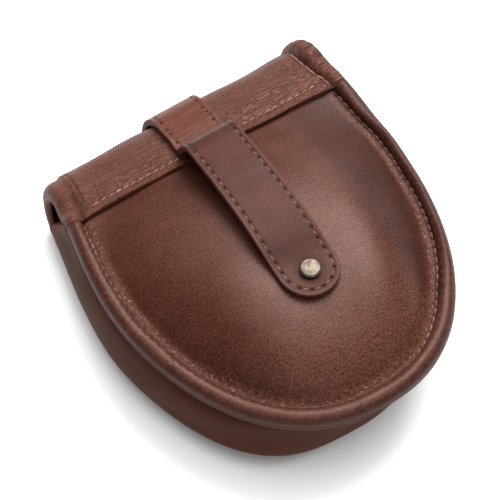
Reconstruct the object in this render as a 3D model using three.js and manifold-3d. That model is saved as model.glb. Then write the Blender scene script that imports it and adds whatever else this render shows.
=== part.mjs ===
// A soft leather belt pouch lying on its front, with its back and its belt strap upwards.
// Millimetres: X runs across the pouch, +Y towards the folded top, +Z up from the surface it lies on.
import * as THREE from 'three';
import { mergeVertices } from 'three/addons/utils/BufferGeometryUtils.js';
import Module from 'manifold-3d';

const wasm = await Module();
wasm.setup();

// Walls and clearances
const GAP = 0.3;
const CURVED_GAP = 0.5;
const LEATHER = 2.0;
const GUSSET_WALL = 1.8;
const STRAP_WALL = 2.8;

// Rim line of the back panel: straight sides above y = 0, a superellipse bottom below it
const RIM = { halfWidth: 72, depth: 114.9, power: 2.27, taper: 0.0063, curve: 0.00086, height: 37.2 };
// Height of each row of the panel's straight part: tucked under the flap, then rolled
const PANEL_TUCKED = { rows: [34, 27.5, 21.3], inset: 3.5 };
const PANEL_ROLLED = { rows: [20.7, 14, 7] };

// Rolled edge: a hook of leather round a cord-sized hollow, just outside the seam
const ROLL = { radius: 4.2, seam: 4.9, sink: 0.2, angles: [160, 130, 100, 80, 50, 20, -10, -35, -60] };
const ROLL_RISE = ROLL.radius * Math.sin(THREE.MathUtils.degToRad(80)) - ROLL.sink;

// Dome of the filled back panel
const DOME = { height: 17.5, y: -58, lower: 52, upper: 84, power: 3, upperPower: 2.4, edge: 1.25 };

// Flap: sewn to the back panel, round the top fold, then down over the front
const FLAP = { sewnEdge: 21, descent: 34.8, foldY: 40.4, foldTop: 37.6, frontEnd: -94, power: 2.5 };
const FOLD_RADIUS = (FLAP.foldTop - ROLL_RISE) / 2;
const FOLD_Z = ROLL_RISE + FOLD_RADIUS;
// The flap's roll lies lower at its two top corners, more so at the left, and stands full again on the front.
// At the right corner it is fuller too: its seam sits further in.
const CORNER = { leftDrop: 4.2, rightDrop: 1, rightSeam: 2.5, blend: 12, from: 24.5, to: 33, fadeFrom: 0.5 };

// Gusset: height of each course, its distance from the rim line, its share of the full bulge, and the y of
// its two ends, whose middle courses reach out as ears
const GUSSET_BULGE = { side: 6.4, dip: 8.7, power: 6 };
const GUSSET_COURSES = [
  { z: 35.6, seat: 0.3, bulge: 0, end: 26 },
  { z: 32.4, seat: 0.3, bulge: 0.02, end: 28 },
  { z: 28.5, seat: 0.3, bulge: 0.42, end: 31.5 },
  { z: 23.0, seat: 0, bulge: 0.78, end: 37 },
  { z: 17.0, seat: 0, bulge: 0.98, end: 42 },
  { z: 12.5, seat: 0, bulge: 1, end: 42.5 },
  { z: 8.9, seat: -0.6, bulge: 0.84, end: 39.5 },
];
const GUSSET_END = { y: 39.5, from: 4 };

// Front panel: hangs inside the foot of the gusset and sags towards the flap
const FRONT = { edgeZ: 9.4, sag: 2.6, sagStart: -66, sagFull: -30, mouth: 39 };

// Belt strap: half-round tail, sewn front end, and the bridge that a belt passes under
const STRAP = { width: 25.4, gap: 0.7, tail: -72.9 };
const STRAP_ON_FRONT = [12, 22, 32];
const STRAP_ON_FLAP = [35, 31];
const BRIDGE = [
  { y: 27.5, z: 40.2 },
  { y: 23.5, z: 44.6 },
  { y: 20.3, z: 50.4 },
  { y: 17.0, z: 53.4 },
  { y: 6.0, z: 55.6 },
  { y: -12.0, z: 58.1 },
  { y: -29.0, z: 59.2 },
  { y: -44.0, z: 57.8 },
];
const STRAP_ON_PANEL = [-56, -66];

// Snap fastener on the tail of the strap
const SNAP = { y: -61.9, capRadius: 4.5, capHeight: 2, shankRadius: 1.9, hole: 2.3, backHeight: 1.2 };

// The filled pouch leans: its right top corner stands further out and fuller, its left top corner is
// tucked in, and its front sits to the left
const LEAN = { skew: 0.059, swell: 0.0009, side: 4, tuck: 6.5, tuckFrom: -45, tuckTo: 48 };

const { clamp, lerp, smoothstep, degToRad } = THREE.MathUtils;

// Half the distance between the two straight sides of the rim line
const rimHalfWidth = (y) => RIM.halfWidth - RIM.taper * y - RIM.curve * y * y;

// Half width of a superellipse bottom of the given size at height y below its start
function bottomHalfWidth(y, halfWidth, depth) {
  const t = clamp(-y / depth, 0, 1);
  return halfWidth * Math.pow(1 - Math.pow(t, RIM.power), 1 / RIM.power);
}

// Outer face of the back panel inside its seam
function domeZ(x, y) {
  const seamHalf = y > 0
    ? rimHalfWidth(y) - ROLL.seam
    : bottomHalfWidth(y, RIM.halfWidth - ROLL.seam, RIM.depth - ROLL.seam);
  const across = clamp(Math.abs(x) / Math.max(seamHalf, 1), 0, 1);
  const above = y > DOME.y;
  const along = clamp(Math.abs(y - DOME.y) / (above ? DOME.upper : DOME.lower), 0, 1);
  const crown = (t, power) => Math.pow(1 - Math.pow(t, power), DOME.edge);
  const lengthwise = crown(along, above ? DOME.upperPower : DOME.power);
  return RIM.height + DOME.height * crown(across, DOME.power) * lengthwise;
}

// Maps u in -1..1 and v in 0..1 to half of a unit superellipse: v = 0 is its flat side
function tongue(u, v, power) {
  const x = u * Math.sqrt(1 - v * v / 2);
  const y = v * Math.sqrt(1 - u * u / 2);
  const round = Math.hypot(x, y);
  const square = Math.pow(Math.pow(Math.abs(x), power) + Math.pow(y, power), 1 / power);
  const stretch = round > 0 ? round / square : 1;
  return { x: x * stretch, y: y * stretch };
}

// Offsets of the rolled edge from the seam, outer face then inner face
function rollSection() {
  const ring = (radius) => ROLL.angles.map((angle) => ({
    out: ROLL.seam + radius * Math.cos(degToRad(angle)),
    up: radius * Math.sin(degToRad(angle)) - ROLL.sink,
  }));
  return { outer: ring(ROLL.radius), inner: ring(ROLL.radius - LEATHER) };
}

// Leans a finished point with the rest of the pouch
function settled(p) {
  const top = clamp(p.y / FLAP.foldY, 0, 1);
  const low = Math.max(0, 1 - p.z / RIM.height);
  const tuck = LEAN.tuck * smoothstep(p.y, LEAN.tuckFrom, LEAN.tuckTo) * Math.max(0, -p.x / RIM.halfWidth);
  return new THREE.Vector3(
    p.x - LEAN.side * low + tuck,
    p.y + LEAN.skew * p.x * top,
    p.z * (1 + LEAN.swell * p.x * top),
  );
}

// A closed geometry from leaned points, its faces turned outwards
function meshGeometry(points, faces) {
  const leaned = points.map(settled);
  let volume = 0;
  for (let f = 0; f < faces.length; f += 3) {
    const [a, b, c] = [leaned[faces[f]], leaned[faces[f + 1]], leaned[faces[f + 2]]];
    volume += a.dot(b.clone().cross(c));
  }
  const geometry = new THREE.BufferGeometry();
  geometry.setAttribute('position', new THREE.Float32BufferAttribute(leaned.flatMap((p) => p.toArray()), 3));
  geometry.setIndex(volume < 0 ? faces.toReversed() : faces);
  return geometry;
}

// A closed sheet on a grid. plan(column, row) gives its flat place, place(x, along, up) bends it into shape.
// A roll, where there is one, follows the left, far and right edges from the row rollFrom on.
function sheet({ columns, rows, plan, place, wall, roll, rollFrom = 0 }) {
  const points = [];
  const faces = [];
  const add = (point) => points.push(point) - 1;
  const quad = (a, b, c, d) => faces.push(a, b, c, a, c, d);
  const flat = [];
  const outer = [];
  const inner = [];
  for (let i = 0; i <= columns; i++) {
    flat.push([]);
    outer.push([]);
    inner.push([]);
    for (let j = 0; j <= rows; j++) {
      const p = plan(i, j);
      flat[i].push(new THREE.Vector2(p.x, p.along));
      outer[i].push(add(place(p.x, p.along, 0)));
      inner[i].push(add(place(p.x, p.along, -wall)));
    }
  }
  for (let i = 0; i < columns; i++) {
    for (let j = 0; j < rows; j++) {
      quad(outer[i][j], outer[i][j + 1], outer[i + 1][j + 1], outer[i + 1][j]);
      quad(inner[i][j], inner[i + 1][j], inner[i + 1][j + 1], inner[i][j + 1]);
    }
  }
  const loop = [];
  for (let j = 0; j < rows; j++) loop.push([0, j]);
  for (let i = 0; i < columns; i++) loop.push([i, rows]);
  for (let j = rows; j > 0; j--) loop.push([columns, j]);
  for (let i = columns; i > 0; i--) loop.push([i, 0]);
  const first = rollFrom;
  const last = 2 * rows + columns - rollFrom;
  const edgePaths = loop.map(([i, j], n) => {
    if (!roll || n < first || n > last) return null;
    const before = n > first ? flat[loop[n - 1][0]][loop[n - 1][1]] : flat[i][j];
    const after = n < last ? flat[loop[n + 1][0]][loop[n + 1][1]] : flat[i][j];
    const run = after.clone().sub(before).normalize();
    const offset = ({ out, up }) => add(place(flat[i][j].x - run.y * out, flat[i][j].y + run.x * out, up));
    return { outer: roll.outer.map(offset), inner: roll.inner.map(offset) };
  });
  loop.forEach(([i, j], n) => {
    const m = (n + 1) % loop.length;
    const [k, l] = loop[m];
    const rolled = edgePaths[n] && edgePaths[m];
    const path = (a, b, edge) => (rolled
      ? [outer[a][b], ...edge.outer, ...edge.inner.toReversed(), inner[a][b]]
      : [outer[a][b], inner[a][b]]);
    const here = path(i, j, edgePaths[n]);
    const next = path(k, l, edgePaths[m]);
    for (let s = 0; s + 1 < here.length; s++) quad(here[s], here[s + 1], next[s + 1], next[s]);
  });
  if (roll) {
    [first, last].forEach((n, end) => {
      const [i, j] = loop[n];
      const o = [outer[i][j], ...edgePaths[n].outer];
      const w = [inner[i][j], ...edgePaths[n].inner];
      for (let s = 0; s + 1 < o.length; s++) {
        if (end) quad(o[s], o[s + 1], w[s + 1], w[s]);
        else quad(o[s + 1], o[s], w[s], w[s + 1]);
      }
    });
  }
  return meshGeometry(points, faces);
}

// Back panel: domed sheet with a rolled edge, its plain top edge under the flap
function backPanel() {
  const columns = 12;
  const tucked = PANEL_TUCKED.rows.length;
  const straightRows = [...PANEL_TUCKED.rows, ...PANEL_ROLLED.rows];
  const straight = straightRows.length;
  const round = 12;
  const halfWidth = RIM.halfWidth - ROLL.seam;
  const depth = RIM.depth - ROLL.seam;
  return sheet({
    columns,
    rows: straight + round,
    wall: LEATHER,
    roll: rollSection(),
    rollFrom: tucked,
    plan: (i, j) => {
      const u = 2 * i / columns - 1;
      if (j < straight) {
        const y = straightRows[j];
        const inset = j < tucked ? PANEL_TUCKED.inset : 0;
        return { x: u * (rimHalfWidth(y) - ROLL.seam - inset), along: -y };
      }
      const p = tongue(u, (j - straight) / round, RIM.power);
      return { x: p.x * halfWidth, along: p.y * depth };
    },
    place: (x, along, up) => new THREE.Vector3(x, -along, domeZ(x, -along) + up),
  });
}

// Half the distance between the flap's two side seams, by distance along it from its sewn edge
const FLAP_BACK = FLAP.foldY - FLAP.sewnEdge;
const FLAP_ROUND = Math.PI * FOLD_RADIUS;
const flapHalf = (along) => rimHalfWidth(FLAP.sewnEdge + Math.min(along, FLAP_BACK)) - ROLL.seam;

// Place on the flap, by distance along it from its sewn edge. Over the panel its roll lies in line with the
// panel's, lower than the sheet that overlaps the panel.
function flapPlace(flatX, along, up) {
  const half = flapHalf(along);
  const onRoll = Math.abs(flatX) > half + GAP;
  const round = (along - FLAP_BACK) / FLAP_ROUND;
  const rise = smoothstep(FLAP.sewnEdge + along, CORNER.from, CORNER.to);
  const corner = rise * (1 - smoothstep(round, CORNER.fadeFrom, 1));
  const slump = onRoll ? corner * (flatX < 0 ? CORNER.leftDrop : CORNER.rightDrop) : 0;
  const x = flatX - corner * CORNER.rightSeam * (flatX < half
    ? smoothstep(flatX, half - CORNER.blend, half)
    : 1 - (flatX - half) / (ROLL.seam + ROLL.radius));
  if (round <= 0) {
    const y = FLAP.sewnEdge + along;
    const down = smoothstep(y, FLAP.descent, FLAP.foldY);
    const overlap = CURVED_GAP + LEATHER;
    const z = lerp(domeZ(x, y) + overlap, FLAP.foldTop, down);
    return new THREE.Vector3(x, y, z + up - slump - (onRoll ? overlap * (1 - down) : 0));
  }
  if (round <= 1) {
    const turn = Math.PI * (0.5 - round);
    const r = FOLD_RADIUS + up - slump;
    return new THREE.Vector3(x, FLAP.foldY + r * Math.cos(turn), FOLD_Z + r * Math.sin(turn));
  }
  return new THREE.Vector3(x, FLAP.foldY - (along - FLAP_BACK - FLAP_ROUND), ROLL_RISE - up);
}

function flap() {
  const columns = 12;
  const backRows = 3;
  const foldRows = 10;
  const frontRows = 11;
  const frontLength = FLAP.foldY - FLAP.frontEnd - ROLL.seam - ROLL.radius;
  const frontStart = backRows + foldRows;
  const straight = (j) => (j < backRows
    ? (FLAP.descent - FLAP.sewnEdge) * j / (backRows - 1)
    : FLAP_BACK + FLAP_ROUND * (j - backRows) / foldRows);
  return sheet({
    columns,
    rows: frontStart + frontRows,
    wall: LEATHER,
    roll: rollSection(),
    plan: (i, j) => {
      const u = 2 * i / columns - 1;
      if (j <= frontStart) return { x: u * flapHalf(straight(j)), along: straight(j) };
      const p = tongue(u, (j - frontStart) / frontRows, FLAP.power);
      return { x: p.x * flapHalf(FLAP_BACK), along: FLAP_BACK + FLAP_ROUND + p.y * frontLength };
    },
    place: flapPlace,
  });
}

// Point and outward direction on the rim line, from the left top end (0) round to the right top end (1)
const rimLine = (() => {
  const sideSteps = 6;
  const bottomSteps = 48;
  const points = [];
  for (let k = 0; k < sideSteps; k++) {
    const y = GUSSET_END.y * (1 - k / sideSteps);
    points.push(new THREE.Vector2(-rimHalfWidth(y), y));
  }
  for (let k = 0; k <= bottomSteps; k++) {
    const angle = Math.PI * (1 + k / bottomSteps);
    const power = 2 / RIM.power;
    const x = RIM.halfWidth * Math.sign(Math.cos(angle)) * Math.pow(Math.abs(Math.cos(angle)), power);
    points.push(new THREE.Vector2(x, -RIM.depth * Math.pow(Math.abs(Math.sin(angle)), power)));
  }
  for (let k = sideSteps - 1; k >= 0; k--) points.push(new THREE.Vector2(-points[k].x, points[k].y));
  return points.map((point, n) => {
    const before = points[Math.max(n - 1, 0)];
    const after = points[Math.min(n + 1, points.length - 1)];
    const run = after.clone().sub(before).normalize();
    return { point, out: new THREE.Vector2(run.y, -run.x) };
  });
})();

// How far a course of the gusset stands outside the rim line, where the rim faces the direction out
function gussetOffset(course, out) {
  const full = GUSSET_BULGE.side - GUSSET_BULGE.dip * Math.pow(Math.max(0, -out.y), GUSSET_BULGE.power);
  return course.seat + course.bulge * full;
}

function gusset() {
  return sheet({
    columns: rimLine.length - 1,
    rows: GUSSET_COURSES.length - 1,
    wall: GUSSET_WALL,
    plan: (i, j) => ({ x: i, along: j }),
    place: (i, j, up) => {
      const { point, out } = rimLine[i];
      const course = GUSSET_COURSES[j];
      const reach = gussetOffset(course, out) + up;
      const toEnd = clamp((point.y - GUSSET_END.from) / (GUSSET_END.y - GUSSET_END.from), 0, 1);
      const y = point.y + (course.end - GUSSET_END.y) * toEnd;
      return new THREE.Vector3(point.x + out.x * reach, y + out.y * reach, course.z);
    },
  });
}

// Front panel: spans between the two sides of the gusset's foot, from the mouth to the bottom
function frontPanel() {
  const last = rimLine.length - 1;
  const foot = GUSSET_COURSES.at(-1);
  const edge = rimLine.map(({ point, out }) => {
    const reach = gussetOffset(foot, out) - GUSSET_WALL - GAP;
    return point.clone().addScaledVector(out, reach);
  });
  const columns = 10;
  const stride = 2;
  return sheet({
    columns,
    rows: last / 2 / stride - 1,
    wall: LEATHER,
    plan: (i, j) => ({ x: i, along: j }),
    place: (i, j, up) => {
      const u = 2 * i / columns - 1;
      const left = edge[j * stride];
      const right = edge[last - j * stride];
      const middle = (left.x + right.x) / 2;
      const half = (right.x - left.x) / 2;
      const y = Math.min(left.y, FRONT.mouth);
      const sag = FRONT.sag * (1 - u * u) * smoothstep(y, FRONT.sagStart, FRONT.sagFull);
      return new THREE.Vector3(middle + u * half, y, FRONT.edgeZ - sag - up);
    },
  });
}

// Inner face of the belt strap as a curve in the plane x = 0, from its sewn front end to its tail
const strapLine = (() => {
  const points = [];
  const at = (y, z) => points.push(new THREE.Vector3(0, y, z));
  for (const y of STRAP_ON_FRONT) at(y, ROLL_RISE - STRAP.gap);
  const radius = FOLD_RADIUS + STRAP.gap;
  const arcSteps = 8;
  for (let k = 0; k <= arcSteps; k++) {
    const turn = Math.PI * (k / arcSteps - 0.5);
    at(FLAP.foldY + radius * Math.cos(turn), FOLD_Z + radius * Math.sin(turn));
  }
  for (const y of STRAP_ON_FLAP) at(y, flapPlace(0, y - FLAP.sewnEdge, STRAP.gap).z);
  for (const { y, z } of BRIDGE) at(y, z);
  for (const y of [...STRAP_ON_PANEL, STRAP.tail]) at(y, domeZ(0, y) + CURVED_GAP);
  const curve = new THREE.CatmullRomCurve3(points, false, 'centripetal');
  curve.arcLengthDivisions = 800;
  return curve;
})();

function beltStrap() {
  const columns = 6;
  const straight = 44;
  const round = 5;
  const half = STRAP.width / 2;
  const length = strapLine.getLength();
  return sheet({
    columns,
    rows: straight + round,
    wall: STRAP_WALL,
    plan: (i, j) => {
      const u = 2 * i / columns - 1;
      if (j <= straight) return { x: u * half, along: (length - half) * j / straight };
      const p = tongue(u, (j - straight) / round, 2);
      return { x: p.x * half, along: length - half + p.y * half };
    },
    place: (x, along, up) => {
      const t = clamp(along / length, 0, 1);
      const p = strapLine.getPointAt(t);
      const run = strapLine.getTangentAt(t);
      const reach = STRAP_WALL + up;
      return new THREE.Vector3(x, p.y + run.z * reach, p.z - run.y * reach);
    },
  });
}

// A turned piece about the vertical line through the snap
function turned(profile, z) {
  const sides = 24;
  const outline = profile.map(([radius, height]) => new THREE.Vector2(radius, height));
  const geometry = new THREE.LatheGeometry(outline, sides);
  geometry.deleteAttribute('normal');
  geometry.deleteAttribute('uv');
  geometry.rotateX(Math.PI / 2);
  geometry.translate(0, SNAP.y, z);
  return mergeVertices(geometry, 1e-4);
}

const snapPanelZ = domeZ(0, SNAP.y);
const snapStrapZ = snapPanelZ + CURVED_GAP + STRAP_WALL;
const shankFoot = snapPanelZ - LEATHER - 2 * CURVED_GAP;

function snapCap() {
  const { capRadius: r, capHeight: h, shankRadius: s } = SNAP;
  const seat = snapStrapZ + GAP;
  const foot = shankFoot - seat;
  return turned([[0, foot], [s, foot], [s, 0], [r - 0.2, 0], [r, 0.4], [r - 0.15, h - 0.9],
    [r - 0.9, h - 0.3], [r / 2, h - 0.05], [0, h]], seat);
}

function snapBack() {
  const { capRadius: r, backHeight: h } = SNAP;
  const top = snapPanelZ - LEATHER - CURVED_GAP;
  const well = SNAP.shankRadius + GAP;
  const floor = shankFoot - GAP - top;
  return turned([[0, floor - h / 2], [r, floor - h / 2], [r, 0], [well, 0], [well, floor], [0, floor]], top);
}

// The closed geometry with a round hole for the snap's shank
function pierced(geometry) {
  const solid = (g) => new wasm.Manifold(new wasm.Mesh({
    numProp: 3,
    vertProperties: new Float32Array(g.attributes.position.array),
    triVerts: new Uint32Array(g.index.array),
  }));
  const reach = 30;
  const drill = turned([[0, -reach], [SNAP.hole, -reach], [SNAP.hole, reach], [0, reach]], snapStrapZ);
  const cut = solid(geometry).subtract(solid(drill)).getMesh();
  const result = new THREE.BufferGeometry();
  result.setAttribute('position', new THREE.Float32BufferAttribute(cut.vertProperties, 3));
  result.setIndex(Array.from(cut.triVerts));
  return result;
}

const leather = (color, roughness) => new THREE.MeshStandardMaterial({ color, roughness, metalness: 0 });
const metal = (color, roughness) => new THREE.MeshStandardMaterial({ color, roughness, metalness: 1 });

const pouch = new THREE.Group();
const pieces = [
  ['back_panel', pierced(backPanel()), leather('#5c3428', 0.5)],
  ['gusset', gusset(), leather('#5a3024', 0.55)],
  ['front_panel', frontPanel(), leather('#5a3226', 0.6)],
  ['flap', flap(), leather('#6e4236', 0.55)],
  ['belt_strap', pierced(beltStrap()), leather('#543229', 0.5)],
  ['snap_cap', snapCap(), metal('#b8ad98', 0.35)],
  ['snap_back', snapBack(), metal('#9d927f', 0.4)],
];
for (const [name, geometry, material] of pieces) {
  geometry.computeVertexNormals();
  const mesh = new THREE.Mesh(geometry, material);
  mesh.name = name;
  pouch.add(mesh);
}

// The origin is the middle of the footprint
const footprint = new THREE.Box3().setFromObject(pouch).getCenter(new THREE.Vector3());
pouch.position.set(-footprint.x, -footprint.y, 0);

export default pouch;
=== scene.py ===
"""Looks of a leather belt pouch that lies on its front: walls, rolled edges, thread, snap, light and camera.

Sizes are millimetres in the pouch's own plan: x runs across it, y towards the folded top, and y = 0 is where
the straight sides of the rim turn into its round bottom. in_frame() takes them to metres in the shared frame.
"""

import math
from types import SimpleNamespace as Sizes

import bpy
import numpy as np
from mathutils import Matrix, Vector


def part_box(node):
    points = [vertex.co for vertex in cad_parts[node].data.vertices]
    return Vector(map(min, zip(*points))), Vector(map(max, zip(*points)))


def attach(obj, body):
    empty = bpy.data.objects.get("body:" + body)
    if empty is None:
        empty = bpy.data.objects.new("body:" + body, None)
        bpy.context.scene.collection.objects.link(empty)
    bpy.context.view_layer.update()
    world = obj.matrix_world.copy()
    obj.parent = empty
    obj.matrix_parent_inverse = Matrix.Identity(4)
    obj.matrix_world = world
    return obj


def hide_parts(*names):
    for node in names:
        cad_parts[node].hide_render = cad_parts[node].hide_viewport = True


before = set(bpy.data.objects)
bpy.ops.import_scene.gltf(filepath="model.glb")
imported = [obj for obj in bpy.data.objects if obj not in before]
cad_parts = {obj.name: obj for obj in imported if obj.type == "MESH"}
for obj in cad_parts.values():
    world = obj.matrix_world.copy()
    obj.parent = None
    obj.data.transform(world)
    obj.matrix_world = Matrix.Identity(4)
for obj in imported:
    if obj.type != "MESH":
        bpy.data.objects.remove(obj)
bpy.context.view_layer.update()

MM = 0.001

# Walls and clearances
LEATHER = 2.0
GUSSET_WALL = 1.8
STRAP_WALL = 2.8
CURVED_GAP = 0.5
GAP = 0.3

# The pouch, as its solids are built
RIM = Sizes(half_width=72, depth=114.9, power=2.27, taper=0.0063, curve=0.00086, height=37.2)
PANEL = Sizes(top=34, tucked_to=21.3, rolled_from=20.7, inset=3.5)
ROLL = Sizes(radius=4.2, seam=4.9, sink=0.2)
ROLL_RISE = ROLL.radius * math.sin(math.radians(80)) - ROLL.sink
DOME = Sizes(height=17.5, y=-58, lower=52, upper=84, power=3, upper_power=2.4, edge=1.25)
FLAP = Sizes(sewn_edge=21, descent=34.8, fold_y=40.4, fold_top=37.6, front_end=-94, power=2.5)
CORNER = Sizes(left_drop=4.2, right_drop=1, right_seam=2.5, blend=12, start=24.5, end=33, fade=0.5)
FOLD_RADIUS = (FLAP.fold_top - ROLL_RISE) / 2
FOLD_Z = ROLL_RISE + FOLD_RADIUS
BULGE = Sizes(side=6.4, dip=8.7, power=6)
GUSSET_END = Sizes(y=39.5, start=4)
FRONT = Sizes(edge_z=9.4, sag=2.6, sag_y=(-66, -30), mouth=39)
STRAP = Sizes(width=25.4, gap=0.7, tail=-72.9)
STRAP_ON_FRONT = (12, 22, 32)
STRAP_ON_FLAP = (35, 31)
STRAP_ON_PANEL = (-56, -66)
SNAP = Sizes(y=-61.9, radius=4.5, height=2.0)
LEAN = Sizes(skew=0.059, swell=0.0009, side=4, tuck=6.5, tuck_y=(-45, 48))

# Softer shapes than the solids have. Here and below, a pair is the start and end of a smooth() slope or the
# middle and reach of a bump(), and three values are the middle, height and reach of a ridge().
DOME_SIDE = Sizes(power=4, edge=1.6)
VALLEY = Sizes(depth=0.7, out=(-4.2, 2.4), along=(-12, 30))
CHEEK = Sizes(rise=0.6, x=(36, 15), y=(-55, 36), inside=(2, 14))
SEAM_IN = 3.3
RIGHT_SEAM = Sizes(shift=2.0, x=(45, 62), along=(-12, 10), inside=(-26, 0), outside=(0.5, 7))
RIGHT_GUSSET = Sizes(power=1.4, tuck=4.4)

# Gusset courses: height, distance from the rim line, share of the full bulge, y of the two ends
COURSE_Z = (35.6, 32.4, 28.5, 23.0, 17.0, 12.5, 8.9)
COURSE_SEAT = (0.3, 0.3, 0.3, 0.0, 0.0, 0.0, -0.6)
COURSE_BULGE = (0.0, 0.02, 0.42, 0.78, 0.98, 1.0, 0.84)
COURSE_END = (26, 28, 31.5, 37, 42, 42.5, 39.5)

# Inner face of the strap where it bridges from the flap to the panel
BRIDGE_Y = (27.5, 23.5, 20.3, 17.0, 6.0, -12.0, -29.0, -44.0)
BRIDGE_Z = (40.2, 44.6, 50.4, 53.4, 55.6, 58.1, 59.2, 57.8)

# Thread: length of a stitch, thickness, share of it at the ends, height over the leather, depth of the ends,
# slant across the line
STITCH = Sizes(pitch=4.05, radius=0.55, ends=0.7, rise=0.34, sink=0.5, slant=0.3, sides=6, stations=7)
STRAP_PITCH = 5.05

# The snap's cap stands over the plan's x = 0
cap_low, cap_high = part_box("snap_cap")
PLAN_SHIFT = np.array([(cap_low.x + cap_high.x) / 2 / MM, (cap_low.y + cap_high.y) / 2 / MM - SNAP.y, 0])


# Plan and shape of the pouch

def smooth(value, low, high):
    """0 below low, 1 above high, and an even S between them."""
    t = np.clip((value - low) / (high - low), 0, 1)
    return t * t * (3 - 2 * t)


def bump(value, middle, reach):
    """1 at the middle, fading to nothing about two reaches away."""
    return np.exp(-((value - middle) / reach) ** 2)


def ridge(value, middle, height, reach):
    return height * bump(value, middle, reach)


def rim_half_width(y):
    return RIM.half_width - RIM.taper * y - RIM.curve * y * y


def bottom_half_width(y, half_width, depth):
    t = np.clip(-y / depth, 0, 1)
    return half_width * (1 - t ** RIM.power) ** (1 / RIM.power)


def dome_z(x, y):
    """Height of the back panel's outer face inside its seam."""
    straight = rim_half_width(y) - ROLL.seam
    rounded = bottom_half_width(y, RIM.half_width - ROLL.seam, RIM.depth - ROLL.seam)
    across = np.clip(np.abs(x) / np.maximum(np.where(y > 0, straight, rounded), 1), 0, 1)
    above = y > DOME.y
    along = np.clip(np.abs(y - DOME.y) / np.where(above, DOME.upper, DOME.lower), 0, 1)
    along_power = np.where(above, DOME.upper_power, DOME.power)
    side_fall = (1 - across ** DOME_SIDE.power) ** DOME_SIDE.edge
    return RIM.height + DOME.height * side_fall * (1 - along ** along_power) ** DOME.edge


def unit(vectors):
    """The same directions at length 1."""
    return vectors / np.linalg.norm(vectors, axis=-1, keepdims=True)


def tongue(u, v, power):
    """Takes u in -1..1 and v in 0..1 to half of a unit superellipse, whose flat side is v = 0."""
    x = u * np.sqrt(1 - v * v / 2)
    y = v * np.sqrt(1 - u * u / 2)
    square = (np.abs(x) ** power + y ** power) ** (1 / power)
    stretch = np.where(square > 0, np.hypot(x, y) / np.maximum(square, 1e-9), 1)
    return x * stretch, y * stretch


def in_frame(points):
    """Leans plan points with the filled pouch and takes them to metres in the shared frame."""
    x, y, z = points.T
    top = np.clip(y / FLAP.fold_y, 0, 1)
    low = np.maximum(0, 1 - z / RIM.height)
    tuck = LEAN.tuck * smooth(y, *LEAN.tuck_y) * np.maximum(0, -x / RIM.half_width)
    leaned_x = x - LEAN.side * low + tuck
    leaned = np.column_stack([leaned_x, y + LEAN.skew * x * top, z * (1 + LEAN.swell * x * top)])
    return (leaned + PLAN_SHIFT) * MM


def waves(seed, count, shortest, longest, height):
    """A smooth random shape over two distances, about the height either way."""
    rng = np.random.default_rng(seed)
    lengths = rng.uniform(shortest, longest, count)
    turns = rng.uniform(0, math.tau, count)
    phases = rng.uniform(0, math.tau, count)

    def shape(a, b):
        total = np.zeros(np.shape(a))
        for length, turn, phase in zip(lengths, turns, phases):
            total += np.sin((a * math.cos(turn) + b * math.sin(turn)) * math.tau / length + phase)
        return height * total / math.sqrt(count)

    return shape


def drawn_down(run, out, depth, inside, outside):
    """How far the thread draws leather down: deepest at each hole, fading to both sides of the line."""
    pull = 0.5 + 0.5 * np.cos(math.tau * run / STITCH.pitch)
    return -depth * pull * np.exp(-(out / np.where(out < 0, inside, outside)) ** 2)


def spaced(count, crowding=0.3):
    """Steps from -1 to 1 that crowd towards both ends."""
    t = np.linspace(-1, 1, count + 1)
    return t * (1 + crowding - crowding * t * t)


# Walls

# Masks that the finish reads. The seam mask darkens seams and joints and also paints shade on the rolls'
# flanks, in grooves, in creases, on the panel's right slope and round the snap.
# The hole mask paints shade in the stitch holes, the pucker mask paints light on the puckers and the coarse
# mask paints light and glints on the lower panel.
MASKS = ("seam", "crest", "rolled", "lip", "cut", "hole", "flesh", "faded", "pucker", "coarse_grain_and_painted_light")
ROLL_TOP_ANGLES = (165, 150, 135, 120, 105, 90, 75, 60, 45, 30, 15, 5, -3)
LIP = Sizes(angles=(-8, -11, -17, -21), lifts=(-0.25, 0.3, 0.3, -0.2))
HOOK_END_ANGLES = (-32, -46, -60)
ROLL_INSIDE_ANGLES = (-60, -25, 10, 45, 80, 115, 140, 160)

# Least distance of a roll's outside and inside from the seam line, and how that leans with the height
ROLL_NEAR = Sizes(outside=0.12, inside=0.5, lean=0.1)

# Heights over the outer face: its marks end at the first, and a cut edge starts at the second
OUTER_FACE = -0.5
CUT_FROM = -0.2


def roll_section(seam):
    """Offsets (out, up) from the seam round the rolled edge, with its cut edge's lip, and back inside."""
    points = [(angle, ROLL.radius) for angle in ROLL_TOP_ANGLES]
    points += [(angle, ROLL.radius + lift) for angle, lift in zip(LIP.angles, LIP.lifts)]
    points += [(angle, ROLL.radius) for angle in HOOK_END_ANGLES]
    points += [(angle, ROLL.radius - LEATHER) for angle in ROLL_INSIDE_ANGLES]
    degrees, radius = np.array(points).T
    angle = np.radians(degrees)
    out = seam + radius * np.cos(angle)
    inside = radius < ROLL.radius - LEATHER / 2
    near = np.where(inside, ROLL_NEAR.inside, ROLL_NEAR.outside) + ROLL_NEAR.lean * np.sin(angle)
    return np.column_stack([np.maximum(out, near), radius * np.sin(angle) - ROLL.sink])


def cut_section(wall, count=7, bevel=0.45, fullness=0.6):
    """Offsets round a cut edge whose two corners are eased."""
    t = np.linspace(0, 1, count)
    swell = np.minimum(np.minimum(t, 1 - t) * wall / bevel, 1)
    return np.column_stack([bevel * (2 * swell - swell * swell) * fullness, -wall * t])


def run_along(line):
    """Distance along a line of flat places to each of them."""
    return np.concatenate([[0], np.cumsum(np.linalg.norm(np.diff(line, axis=0), axis=1))])


def along_line(distance, run, table):
    """Each column of a table of points, at distances along their line."""
    return (np.interp(distance, run, column) for column in table.T)


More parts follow.
